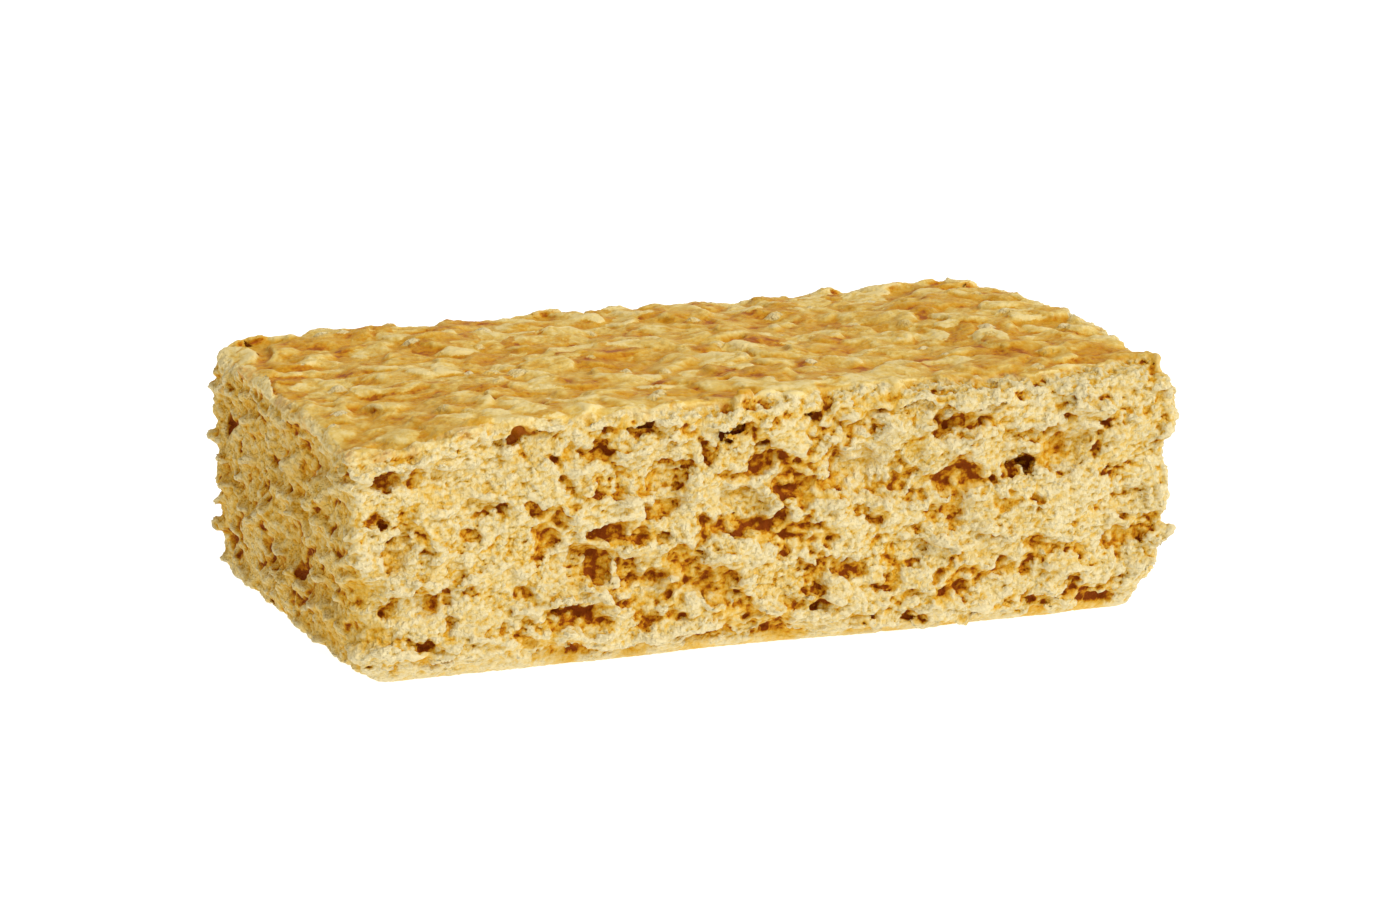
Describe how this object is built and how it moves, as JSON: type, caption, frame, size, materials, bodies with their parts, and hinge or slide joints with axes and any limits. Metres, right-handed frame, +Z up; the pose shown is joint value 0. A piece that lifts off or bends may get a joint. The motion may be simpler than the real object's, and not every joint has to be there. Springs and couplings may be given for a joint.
{
  "type": "granola bar",
  "caption": "Baked oat granola bar: a thick rectangular slice with a golden flaky crust on top and pale crumbly cut sides.",
  "frame": {"origin": "middle of the bar's box, on the surface that the bar lies on", "axes": "+X along the bar, +Y from the front cut face to the back cut face, +Z up to the baked crust"},
  "size_m": [0.107, 0.0624, 0.0314],
  "materials": {
    "oat_crumb": "pale cream crumb of baked oats, matt and grainy, amber in its hollows",
    "baked_crust": "golden crust of flattened oat flakes with a dull syrup sheen"
  },
  "bodies": {
    "root": {"granola_bar": "oat_crumb"}
  },
  "joints": []
}
